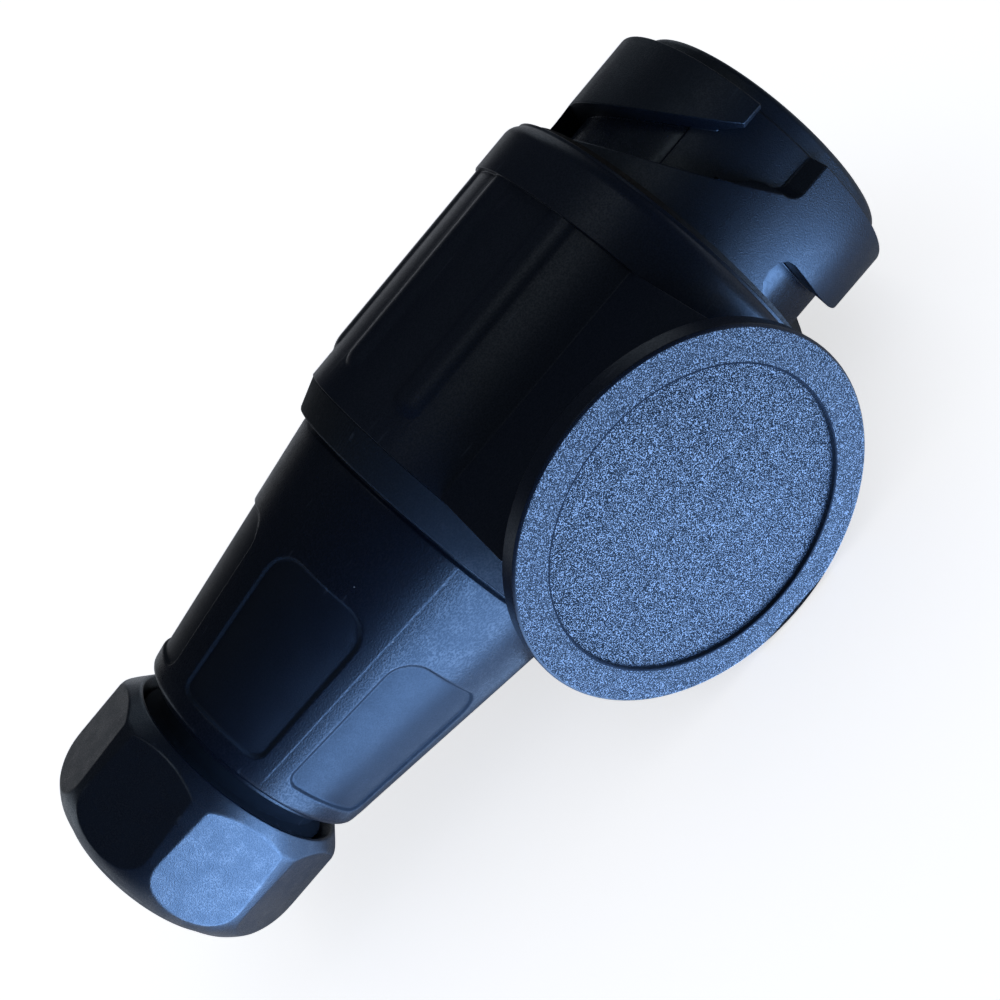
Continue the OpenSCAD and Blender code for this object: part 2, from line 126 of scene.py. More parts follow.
# place on the plug: millimetres along the axis, out toward the disc and from the axis, turn in degrees
def plugPlaceGroup():
    group, takes, gives = makeGroup("plugPlace", {}, ("Along", "Out", "Radius", "Turn"))
    shift = -(plugTurn.transposed() @ axisPoint) / mm
    values = {"Vector": objectPlace(group, 1 / mm), "Rotation": (-plugRoll, 0, 0), "Location": shift}
    spot = put(group, "ShaderNodeMapping", values)
    along, aside, up = put(group, "ShaderNodeSeparateXYZ", {0: spot.outputs[0]}).outputs
    out = calc(group, "MULTIPLY", aside, -1)
    squares = calc(group, "ADD", calc(group, "MULTIPLY", out, out), calc(group, "MULTIPLY", up, up))
    turn = calc(group, "DEGREES", calc(group, "ARCTAN2", up, out))
    found = {"Along": along, "Out": out, "Radius": calc(group, "SQRT", squares), "Turn": turn}
    for name, value in found.items():
        group.links.new(value, gives[name])
    return group


# spark-eroded mould grain: cloudy noise with small pits, Size in millimetres, Stretch along the axis
spark = {"cloudDetail": 1.5, "cloudRough": 0.55, "pitScale": 0.8, "pitShare": 0.35,
         "start": {"Size": 0.25, "Stretch": 1.0, "Low": 0.3, "High": 0.7}}


def sparkGrainGroup():
    group, takes, gives = makeGroup("sparkGrain", spark["start"], ("Height", "Fleck"))
    place = objectPlace(group, calc(group, "DIVIDE", 1 / mm, takes["Size"]))
    along = calc(group, "DIVIDE", 1.0, takes["Stretch"])
    along = put(group, "ShaderNodeCombineXYZ", {0: along, 1: 1.0, 2: 1.0}).outputs[0]
    place = put(group, "ShaderNodeVectorMath", {0: place, 1: along}, operation="MULTIPLY").outputs[0]
    values = {"Vector": place, "Scale": 1.0, "Detail": spark["cloudDetail"],
              "Roughness": spark["cloudRough"]}
    cloud = put(group, "ShaderNodeTexNoise", values).outputs[0]
    values = {"Vector": place, "Scale": spark["pitScale"]}
    pits = put(group, "ShaderNodeTexVoronoi", values, feature="F1").outputs["Distance"]
    height = blendValue(group, spark["pitShare"], cloud, pits)
    group.links.new(height, gives["Height"])
    group.links.new(ease(group, height, takes["Low"], takes["High"]), gives["Fleck"])
    return group


# handling marks: wide faint smears, smaller worn patches, thin scuffs and a few grains of dust
wear = {"smearScale": 55.0, "smearDetail": 3.0, "smearRange": (0.35, 0.7),
        "patchScale": 380.0, "patchDetail": 2.5, "patchRange": (0.36, 0.66),
        "hairLean": (0.5, 0.4, 0.9), "hairScale": (90.0, 1300.0, 1300.0), "hairRange": (0.76, 0.82),
        "scuffScale": 90.0, "scuffDetail": 1.0, "scuffRange": (0.5, 0.62),
        "dustScale": 420.0, "dustRange": (0.07, 0.04), "dustFew": 0.03, "start": {"Dust": 0.5}}


def handlingGroup():
    group, takes, gives = makeGroup("handling", wear["start"], ("Smear", "Patch", "Scuff", "Dust"))
    smear = cloudNoise(group, objectPlace(group, wear["smearScale"]), wear["smearDetail"])
    group.links.new(ease(group, smear, *wear["smearRange"]), gives["Smear"])
    patch = cloudNoise(group, objectPlace(group, wear["patchScale"]), wear["patchDetail"])
    group.links.new(ease(group, patch, *wear["patchRange"]), gives["Patch"])
    values = {"Vector": objectPlace(group, 1.0), "Rotation": wear["hairLean"], "Scale": wear["hairScale"]}
    hair = cloudNoise(group, put(group, "ShaderNodeMapping", values).outputs[0], 0.0)
    where = cloudNoise(group, objectPlace(group, wear["scuffScale"]), wear["scuffDetail"])
    where = ease(group, where, *wear["scuffRange"])
    group.links.new(calc(group, "MULTIPLY", ease(group, hair, *wear["hairRange"]), where), gives["Scuff"])
    values = {"Vector": objectPlace(group, wear["dustScale"]), "Scale": 1.0}
    spots = put(group, "ShaderNodeTexVoronoi", values, feature="F1").outputs
    small = ease(group, spots["Distance"], *wear["dustRange"])
    pick = put(group, "ShaderNodeSeparateColor", {0: spots["Color"]}).outputs[0]
    few = calc(group, "LESS_THAN", pick, calc(group, "MULTIPLY", takes["Dust"], wear["dustFew"]))
    group.links.new(calc(group, "MULTIPLY", small, few), gives["Dust"])
    return group


plugPlace = plugPlaceGroup()
sparkGrain = sparkGrainGroup()
handling = handlingGroup()


def newMaterial(name):
    material = bpy.data.materials.new(name)
    material.use_nodes = True
    tree = material.node_tree
    return material, tree, tree.nodes["Principled BSDF"]


def setPlain(shader, values):
    for key, value in values.items():
        shader.inputs[key].default_value = value


# moulded plastic: fine grain all over, a second grain with its own gloss where the mask is 1, and painted shade,
# dark and rough, where the shade mask is 1
moulded = {"scuffShare": 0.25, "dustShare": 0.6, "dustRough": 0.3, "paintedShadeRough": 0.95, "patchGloss": 0.1,
           "ior": 1.58, "coatIor": 1.7, "coatRough": 0.32}


def grainLayer(tree, layer):
    low, high = layer["fleck"]
    values = {"Size": layer["size"], "Stretch": layer["stretch"], "Low": low, "High": high}
    grain = placed(tree, sparkGrain, values)
    color = blendColor(tree, grain["Fleck"], layer["pit"], layer["color"])
    gloss = calc(tree, "SUBTRACT", layer["rough"], calc(tree, "MULTIPLY", grain["Fleck"], layer["spread"]))
    height = calc(tree, "MULTIPLY", grain["Height"], layer["depth"])
    coat = calc(tree, "MULTIPLY", grain["Fleck"], layer["coat"])
    return color, gloss, height, coat


def mouldedPlastic(name, finish, mask=None):
    material, tree, shader = newMaterial(name)
    spot = placed(tree, plugPlace)
    share = mask(tree, spot) if mask else 0.0
    paintedShade = finish["paintedShade"](tree, spot) if "paintedShade" in finish else 0.0
    marks = placed(tree, handling, {"Dust": finish["dust"]})
    worn = finish["worn"]
    plainColor, plainGloss, plainHeight, plainCoat = grainLayer(tree, finish["plain"])
    maskColor, maskGloss, maskHeight, maskCoat = grainLayer(tree, finish.get("masked", finish["plain"]))

    coat = blendValue(tree, share, plainCoat, maskCoat)
    # painted shade: where the shade mask is 1 the coat is taken away, the colour turns to the dark pit colour and
    # the roughness rises
    coat = calc(tree, "MULTIPLY", coat, calc(tree, "SUBTRACT", 1.0, paintedShade))
    coat = calc(tree, "MULTIPLY", coat, blendValue(tree, marks["Patch"], 1.0 - worn, 1.0 + worn))
    tree.links.new(coat, shader.inputs["Coat Weight"])

    color = blendColor(tree, paintedShade, blendColor(tree, share, plainColor, maskColor), finish["plain"]["pit"])
    scuff = calc(tree, "MULTIPLY", marks["Scuff"], moulded["scuffShare"])
    color = blendColor(tree, scuff, color, finish["scuffColor"])
    dust = calc(tree, "MULTIPLY", marks["Dust"], moulded["dustShare"])
    color = blendColor(tree, dust, color, finish["dustColor"])
    tree.links.new(color, shader.inputs["Base Color"])

    gloss = blendValue(tree, paintedShade, blendValue(tree, share, plainGloss, maskGloss), moulded["paintedShadeRough"])
    patch = calc(tree, "MULTIPLY", marks["Patch"], moulded["patchGloss"] * worn)
    gloss = calc(tree, "SUBTRACT", gloss, patch)
    gloss = calc(tree, "ADD", gloss, calc(tree, "MULTIPLY", marks["Smear"], finish["smear"]))
    dust = calc(tree, "MULTIPLY", marks["Dust"], moulded["dustRough"])
    tree.links.new(calc(tree, "ADD", gloss, dust, clamp=True), shader.inputs["Roughness"])

    height = blendValue(tree, share, plainHeight, maskHeight)
    bump = put(tree, "ShaderNodeBump", {"Height": height, "Distance": mm, "Strength": 1.0})
    tree.links.new(bump.outputs[0], shader.inputs["Normal"])
    setPlain(shader, {"IOR": moulded["ior"], "Coat IOR": moulded["coatIor"],
                      "Coat Roughness": moulded["coatRough"], "Specular IOR Level": finish["shine"],
                      "Specular Tint": finish["sheen"]})
    return material


# the black-blue plastic that grip, nose, shell and nut share
navy = {"sheen": (0.60, 0.79, 1.0, 1), "shine": 0.65, "dust": 0.4, "smear": 0.05, "worn": 0.3,
        "dustColor": (0.22, 0.23, 0.25, 1), "scuffColor": (0.05, 0.06, 0.08, 1)}
navySkin = {"color": (0.0025, 0.0042, 0.0105, 1), "pit": (0.0015, 0.0027, 0.0068, 1), "stretch": 1.0,
            "spread": 0.08, "coat": 0.08, "fleck": (0.30, 0.70)}


# distance from the middle of the disc, in its plane
def discSpread(tree, spot):
    aside = calc(tree, "SUBTRACT", spot["Along"], discAlong)
    squares = [calc(tree, "MULTIPLY", v, v) for v in (aside, spot["Radius"], spot["Out"])]
    return calc(tree, "SQRT", calc(tree, "SUBTRACT", calc(tree, "ADD", squares[0], squares[1]), squares[2]))


def onDiscFace(tree, spot):
    return calc(tree, "GREATER_THAN", spot["Out"], discOut - gripFinish["faceDeep"])


# painted shade: a thin dark line in the corner of the disc's recess
def recessShadeLine(tree, spot):
    away = calc(tree, "SUBTRACT", discSpread(tree, spot), gripFinish["paintedShadeRadius"])
    away = calc(tree, "ABSOLUTE", away)
    line = ease(tree, away, gripFinish["shadeLineHalf"], gripFinish["shadeLineCore"])
    return calc(tree, "MULTIPLY", line, onDiscFace(tree, spot))


gripSkin = dict(navySkin, size=0.20, depth=0.010, rough=0.38, coat=0.20,
                color=(0.0042, 0.0066, 0.0145, 1), pit=(0.0027, 0.0044, 0.0100, 1))
# the disc's face: coarse grain with light bluish flecks; their colour is partly the plastic's grain, partly a
# painted sheen of the cool light
discSkinAndSheen = dict(navySkin, size=0.13, depth=0.085, rough=0.92, spread=0.50, coat=1.0, fleck=(0.530, 0.590),
                color=(0.028, 0.047, 0.084, 1), pit=(0.001, 0.002, 0.004, 1))
# the last three numbers place the painted shade line in the corner of the disc's recess
gripFinish = dict(navy, shine=0.38, worn=0.05, plain=gripSkin, masked=discSkinAndSheen, paintedShade=recessShadeLine,
                  faceRadius=25.3, faceDeep=0.1, recessRadius=20.75, rimShare=0.80,
                  paintedShadeRadius=20.84, shadeLineHalf=0.22, shadeLineCore=0.154)


# the disc's face: far enough out and within its edge, a little less on the rim than in the recess
def gripMask(tree, spot):
    spread = discSpread(tree, spot)
    inside = calc(tree, "LESS_THAN", spread, gripFinish["faceRadius"])
    face = calc(tree, "MULTIPLY", onDiscFace(tree, spot), inside)
    rim = calc(tree, "GREATER_THAN", spread, gripFinish["recessRadius"])
    return calc(tree, "MULTIPLY", face, blendValue(tree, rim, 1.0, gripFinish["rimShare"]))


noseSkin = dict(navySkin, size=0.18, depth=0.036, rough=0.46, coat=0.16, fleck=(0.42, 0.62))
slotSkin = dict(navySkin, size=0.6, depth=0.002, rough=0.31)
noseFinish = dict(navy, shine=0.74, plain=noseSkin, masked=slotSkin, floorRadius=20.4, floorTurn=61.0,
                  floorSpan=75.0, pitch=120.0, lip=2.75)


# the smooth floors of the three bayonet slots: behind the lip, below a radius, over a span of each third
def noseMask(tree, spot):
    front = (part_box("bayonet_nose")[1].x - axisPoint.x) / mm - noseFinish["lip"]
    floor = calc(tree, "LESS_THAN", spot["Radius"], noseFinish["floorRadius"])
    floor = calc(tree, "MULTIPLY", floor, calc(tree, "LESS_THAN", spot["Along"], front))
    past = calc(tree, "SUBTRACT", spot["Turn"], noseFinish["floorTurn"])
    values = {0: past, 1: noseFinish["pitch"], 2: 0.0}
    past = put(tree, "ShaderNodeMath", values, operation="WRAP").outputs[0]
    return calc(tree, "MULTIPLY", floor, calc(tree, "LESS_THAN", past, noseFinish["floorSpan"]))


# share of a panel, or of a rubbed edge, that the built surfaces carry
def carriedShare(tree, spot):
    return put(tree, "ShaderNodeAttribute", attribute_name="panel").outputs["Fac"]


# painted shade: dark in the neck's groove behind the cone, a dark film over the band, thin dark lines along the
# panels' walls
def shellPaintedShade(tree, spot):
    neck = calc(tree, "MULTIPLY", calc(tree, "LESS_THAN", spot["Radius"], shellFinish["paintedShadeRadius"]),
                calc(tree, "LESS_THAN", spot["Along"], shellFinish["paintedShadeAlong"]))
    share = carriedShare(tree, spot)
    wall = calc(tree, "MULTIPLY", share, calc(tree, "SUBTRACT", 1.0, share))
    line = calc(tree, "MULTIPLY", ease(tree, wall, *shellFinish["wallRange"]), shellFinish["wallShade"])
    band = calc(tree, "GREATER_THAN", spot["Along"], shellFinish["bandAlong"])
    band = calc(tree, "MULTIPLY", band, shellFinish["bandShade"])
    return calc(tree, "MAXIMUM", neck, calc(tree, "MAXIMUM", line, band))


shellSkin = dict(navySkin, size=0.20, depth=0.036, rough=0.36, stretch=1.5, coat=0.26, fleck=(0.40, 0.64))
panelSkin = dict(navySkin, size=0.20, depth=0.026, rough=0.46, coat=0.06)
# the numbers from the neck's radius on place the painted shade: in the neck's groove, along the panels' walls and
# over the band
shellFinish = dict(navy, shine=0.47, plain=shellSkin, masked=panelSkin, paintedShade=shellPaintedShade, paintedShadeRadius=16.0,
                   paintedShadeAlong=-46.8, wallShade=0.75, wallRange=(0.06, 0.20), bandShade=0.6, bandAlong=-4.7)

nutSkin = dict(navySkin, size=0.16, depth=0.040, rough=0.37, coat=0.50, fleck=(0.38, 0.66))
rubbedSkin = dict(navySkin, size=0.22, depth=0.020, rough=0.36, coat=0.5,
                  color=(0.020, 0.024, 0.032, 1), pit=(0.006, 0.008, 0.012, 1))
nutFinish = dict(navy, shine=1.0, worn=0.45, plain=nutSkin, masked=rubbedSkin,
                 rubScale=300.0, rubDetail=4.0, rubRange=(0.52, 0.62))


# rubbed edges of the flats, broken up in short lengths
def nutMask(tree, spot):
    broken = cloudNoise(tree, objectPlace(tree, nutFinish["rubScale"]), nutFinish["rubDetail"])
    return calc(tree, "MULTIPLY", carriedShare(tree, spot), ease(tree, broken, *nutFinish["rubRange"]))


# insert, rubber and slip washer: plain in the gloss, each with its own tone and grain
plainWhite = (1, 1, 1, 1)
insertSkin = dict(navySkin, color=(0.022, 0.023, 0.025, 1), pit=(0.013, 0.0135, 0.015, 1),
                  size=0.3, depth=0.008, rough=0.44)
rubberSkin = dict(navySkin, color=(0.006, 0.006, 0.0065, 1), pit=(0.004, 0.004, 0.0045, 1),
                  size=0.35, depth=0.01, rough=0.64)
slipSkin = dict(navySkin, color=(0.60, 0.56, 0.48, 1), pit=(0.50, 0.46, 0.38, 1),
                size=0.5, depth=0.005, rough=0.46)
insertFinish = dict(navy, sheen=plainWhite, shine=0.5, plain=insertSkin)
rubberFinish = dict(navy, sheen=plainWhite, shine=0.35, plain=rubberSkin)
slipFinish = dict(navy, sheen=plainWhite, shine=0.5, scuffColor=(0.3, 0.28, 0.24, 1), plain=slipSkin)

gripPlastic = mouldedPlastic("gripPlastic", gripFinish, gripMask)
nosePlastic = mouldedPlastic("nosePlastic", noseFinish, noseMask)
shellPlastic = mouldedPlastic("shellPlastic", shellFinish, carriedShare)
nutPlastic = mouldedPlastic("nutPlastic", nutFinish, nutMask)
insertPlastic = mouldedPlastic("insertPlastic", insertFinish)
blackRubber = mouldedPlastic("blackRubber", rubberFinish)
slipPlastic = mouldedPlastic("slipPlastic", slipFinish)

# turned or plated metal: fine rings along the axis in height and tone, with faint stains
turned = {"dust": 0.3, "ringDetail": 2.0, "ringShare": 0.5, "stainShare": 0.5, "stainRough": 0.12}


def turnedMetal(name, finish):
    material, tree, shader = newMaterial(name)
    spot = placed(tree, plugPlace)
    marks = placed(tree, handling, {"Dust": turned["dust"]})
    along = calc(tree, "MULTIPLY", spot["Along"], finish["rings"])
    values = {"W": along, "Scale": 1.0, "Detail": turned["ringDetail"]}
    rings = put(tree, "ShaderNodeTexNoise", values, noise_dimensions="1D").outputs[0]
    tone = calc(tree, "ADD", calc(tree, "MULTIPLY", rings, turned["ringShare"]),
                calc(tree, "MULTIPLY", marks["Smear"], turned["stainShare"]))
    tree.links.new(blendColor(tree, tone, finish["dark"], finish["color"]), shader.inputs["Base Color"])
    stain = calc(tree, "MULTIPLY", marks["Smear"], turned["stainRough"])
    tree.links.new(calc(tree, "ADD", finish["rough"], stain), shader.inputs["Roughness"])
    bump = put(tree, "ShaderNodeBump", {"Height": rings, "Distance": finish["depth"] * mm, "Strength": 1.0})
    tree.links.new(bump.outputs[0], shader.inputs["Normal"])
    setPlain(shader, {"Metallic": finish["metal"]})
    return material


brassFinish = {"color": (0.78, 0.57, 0.25, 1), "dark": (0.55, 0.37, 0.14, 1), "rough": 0.26, "rings": 9.0,
               "depth": 0.004, "metal": 0.6}
steelFinish = {"color": (0.62, 0.63, 0.66, 1), "dark": (0.42, 0.43, 0.45, 1), "rough": 0.30, "rings": 4.0,
               "depth": 0.003, "metal": 0.7}
turnedBrass = turnedMetal("turnedBrass", brassFinish)
zincSteel = turnedMetal("zincSteel", steelFinish)

bySlot = {"grip_plastic": gripPlastic, "nose_plastic": nosePlastic, "shell_plastic": shellPlastic,
          "nut_plastic": nutPlastic, "insert_plastic": insertPlastic, "slip_plastic": slipPlastic,
          "rubber": blackRubber, "brass": turnedBrass, "steel": zincSteel}
for part in record["subparts"]:
    slots = nodes[part["node"]].data.materials
    slots.clear()
    slots.append(bySlot[part["material_slot"]])
print("materials dressed")

# soft edges on grip and nose: millimetres and degrees
edges = {"widths": {"grip_body": 0.1, "bayonet_nose": 0.2}, "weld": 0.002, "flatAngle": 0.5,
         "sharpAngle": 28, "segments": 2, "weight": 80}


# weld the triangles, join flat ones, then round what is sharp
def softEdges(name, width):
    node = nodes[name]
    weld = node.modifiers.new("weld", "WELD")
    weld.merge_threshold = edges["weld"] * mm
    flat = node.modifiers.new("flat", "DECIMATE")
    flat.decimate_type = "DISSOLVE"
    flat.angle_limit = math.radians(edges["flatAngle"])
    edge = node.modifiers.new("edge", "BEVEL")
    edge.width = width * mm
    edge.segments = edges["segments"]
    edge.limit_method = "ANGLE"
    edge.angle_limit = math.radians(edges["sharpAngle"])
    edge.use_clamp_overlap = False
    even = node.modifiers.new("even", "WEIGHTED_NORMAL")
    even.weight = edges["weight"]


for name, width in edges["widths"].items():
    softEdges(name, width)
print("edges softened")

# how far from a corner of a profile its rounding starts, in millimetres
crisp = 0.1
fine = 0.15
small = 0.2
easy = 0.3
wide = 0.4
full = 0.5
carry = {"mostOfSide": 0.45, "weight": 70}


# profile corners: each listed corner becomes a short curve that leaves its two sides at the given distance
def softProfile(corners, steps=4):
    points = []
    places = np.array([c[:2] for c in corners], float)
    share = np.linspace(0, 1, steps)[:, None]
    for i, corner in enumerate(corners):
        here = places[i]
        near = [places[i - 1] - here, places[(i + 1) % len(places)] - here]
        cut = [min(corner[2], carry["mostOfSide"] * np.linalg.norm(way)) for way in near]
        start, stop = (here + way / np.linalg.norm(way) * c for way, c in zip(near, cut))
        points.append(start * (1 - share) ** 2 + 2 * here * share * (1 - share) + stop * share ** 2)
    return np.concatenate(points)


# extra stations so that no step of the closed profile is longer than its limit
def divided(points, limit):
    runs = []
    for here, there in zip(points, np.roll(points, -1, axis=0)):
        count = max(1, math.ceil(np.linalg.norm(there - here) / limit(here, there)))
        runs.append(here + (there - here) * (np.arange(count) / count)[:, None])
    return np.concatenate(runs)


# 0 to 1 with level ends
def smooth(share):
    return share * share * (3 - 2 * share)


# angle from the nearest of the evenly spaced turns that start at first
def leanFrom(turn, first, step):
    return (turn - math.radians(first) + step / 2) % step - step / 2


# closed profile carried once round the axis: along stays, radius is bent by the field, turn runs the circle
def carriedRound(name, profile, turns, field, material, body, replaced):
    along, turn = np.meshgrid(profile[:, 0], turns, indexing="ij")
    radius, share = field(along, np.repeat(profile[:, 1:2], len(turns), axis=1), turn)
    spots = np.stack([along, -radius * np.cos(turn), radius * np.sin(turn)], axis=-1).reshape(-1, 3)
    spots = spots @ np.array(plugTurn.transposed()) * mm + np.array(axisPoint)
    row, column = np.meshgrid(np.arange(len(profile)), np.arange(len(turns)), indexing="ij")
    nextRow, nextColumn = (row + 1) % len(profile), (column + 1) % len(turns)
    width = len(turns)
    faces = np.stack([row * width + column, row * width + nextColumn, nextRow * width + nextColumn,
                      nextRow * width + column], axis=-1).reshape(-1, 4)
    # a volume below nothing means that the faces point inwards
    a, b, c, d = (spots[faces[:, i]] for i in range(4))
    if np.einsum("ij,ij->", a, np.cross(b, c)) + np.einsum("ij,ij->", a, np.cross(c, d)) < 0:
        faces = faces[:, ::-1]
    mesh = bpy.data.meshes.new(name)
    mesh.from_pydata(spots.tolist(), [], faces.tolist())
    mesh.polygons.foreach_set("use_smooth", np.ones(len(faces), bool))
    panel = mesh.attributes.new("panel", "FLOAT", "POINT")
    panel.data.foreach_set("value", share.reshape(-1).astype(np.float32))
    mesh.materials.append(material)
    shown = bpy.data.objects.new(name, mesh)
    bpy.context.scene.collection.objects.link(shown)
    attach(shown, body)
    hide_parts(replaced)
    even = shown.modifiers.new("even", "WEIGHTED_NORMAL")
    even.weight = carry["weight"]
    print(name, len(faces), "quads")
    return shown


# gland nut: domed round body cut by eight flats, in millimetres and degrees
nut = {"radius": 19.7, "chamfer": 2.1, "chamferLong": 2.415, "endRadius": 15.54, "bevel": 0.7,
       "domeLong": 8.9, "domeFall": 2.75, "domePower": 3, "domeSteps": 26,
       "flats": 8, "flat": 18.72, "flatTurn": 15.5, "draft": 0.022, "soft": 0.06, "rub": 0.07,
       "bore": 16.0, "mouth": 17.2, "mouthDeep": 2.2, "skinFrom": 17.3, "endWall": 4.5, "cable": 7.5,
       "flare": 1.2,
       "cornerSteps": 3, "skinStep": 0.3, "innerStep": 1.5,
       "edgeTurn": 14, "edgeStep": 0.4, "flatStep": 1.4}


def makeNut():
    n = nut
    low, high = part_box("gland_nut")
    rear, front = (low.x - axisPoint.x) / mm, (high.x - axisPoint.x) / mm
    ledge = rear + 2 * n["bevel"]
    wall = rear + n["endWall"]

    # dome: the radius falls with a power of the way back
    share = np.linspace(0, 1, n["domeSteps"])
    domeAlong = rear + n["domeLong"] + share * (ledge - rear - n["domeLong"])
    domeRadius = n["radius"] - n["domeFall"] * share ** n["domePower"]
    corners = [(front - n["mouthDeep"], n["bore"], fine), (front, n["mouth"], crisp),
               (front, n["radius"] - n["chamfer"], crisp), (front - n["chamferLong"], n["radius"], wide)]
    corners += [(x, r, crisp) for x, r in zip(domeAlong, domeRadius)]
    corners += [(ledge, n["endRadius"] + n["bevel"], fine), (rear, n["endRadius"] - n["bevel"], wide),
                (rear, n["cable"] + n["flare"], small), (rear + n["flare"], n["cable"], easy),
                (wall, n["cable"], crisp), (wall, n["bore"], crisp)]

    def limit(here, there):
        return n["skinStep"] if min(here[1], there[1]) > n["bore"] else n["innerStep"]

    profile = divided(softProfile(corners, n["cornerSteps"]), limit)

    # the smaller of round profile and flat, joined softly over a short distance
    def field(along, radius, turn):
        lean = leanFrom(turn, n["flatTurn"], 2 * math.pi / n["flats"])
        flat = (n["flat"] - n["draft"] * (front - along)) / np.cos(lean)
        near = np.clip(0.5 + 0.5 * (flat - radius) / n["soft"], 0, 1)
        joined = flat * (1 - near) + radius * near - n["soft"] * near * (1 - near)
        outer = radius > n["skinFrom"]
        rubbed = np.exp(-((flat - radius) / n["rub"]) ** 2)
        return np.where(outer, np.minimum(joined, radius), radius), np.where(outer, rubbed, 0)

    # turns lie closer near the flats' edges
    half, edge = 180 / n["flats"], n["edgeTurn"]
    sector = np.concatenate([np.arange(-half, -edge, n["edgeStep"]), np.arange(-edge, edge, n["flatStep"]),
                             np.arange(edge, half, n["edgeStep"])])
    turns = np.concatenate([sector + n["flatTurn"] + k * 2 * half for k in range(n["flats"])])
    shown = carriedRound("nutShell", profile, np.radians(turns), field, nutPlastic, "nut", "gland_nut")


makeNut()

# rear shell: band, cone with six sunk panels and two moulding lines, neck for the nut, hollow inside
shell = {"spigot": 24.25, "spigotLong": 9.0, "spigotIn": 20.9, "grooveDeep": 2.1, "grooveHalf": 1.1,
         "bandFront": 26.6, "bandLong": 4.75, "bandEnd": 25.1, "bandRound": 0.35,
         "gap": 0.45, "gapLong": 0.4, "gapEnd": 0.75,
         "coneTop": 23.8, "coneLong": 41.2, "coneEnd": 18.3, "lip": 0.5, "wall": 3.05,
         "foot": 16.3, "footLong": 0.95, "relief": 14.0, "reliefLong": 3.6, "reliefRise": 0.8,
         "neck": 15.7, "neckLong": 12.5, "neckBore": 13.1, "seatDepth": 8.5, "throat": 8.5,
         "panels": 6, "panelTurn": 54.5, "panelSpan": 45.5, "panelDeep": 0.4, "panelRear": 3.3,
         "panelFront": 14.0, "panelRound": 4.2, "rearRound": 1.7, "edge": 0.66, "frontEdge": 0.42,
         "panelEnd": 0.6, "stationRound": 0.01,
         "seamTurn": 24.5, "seamRise": 0.3, "seamFall": 4.0, "seamHigh": 0.03, "seamIn": 1.2,
         "seamOut": 0.4, "seamFade": 0.6, "skinNear": 0.3, "skinDeep": 1.0, "skinIn": 0.2,
         "cornerSteps": 3, "plainStep": 5.0, "skinStep": 0.8, "endStep": 0.22,
         "turnStep": 1.2, "leastTurn": 0.1, "sideReach": 2.4, "sideStep": 0.3,
         "seamReach": 1.2, "seamStep": 0.15}


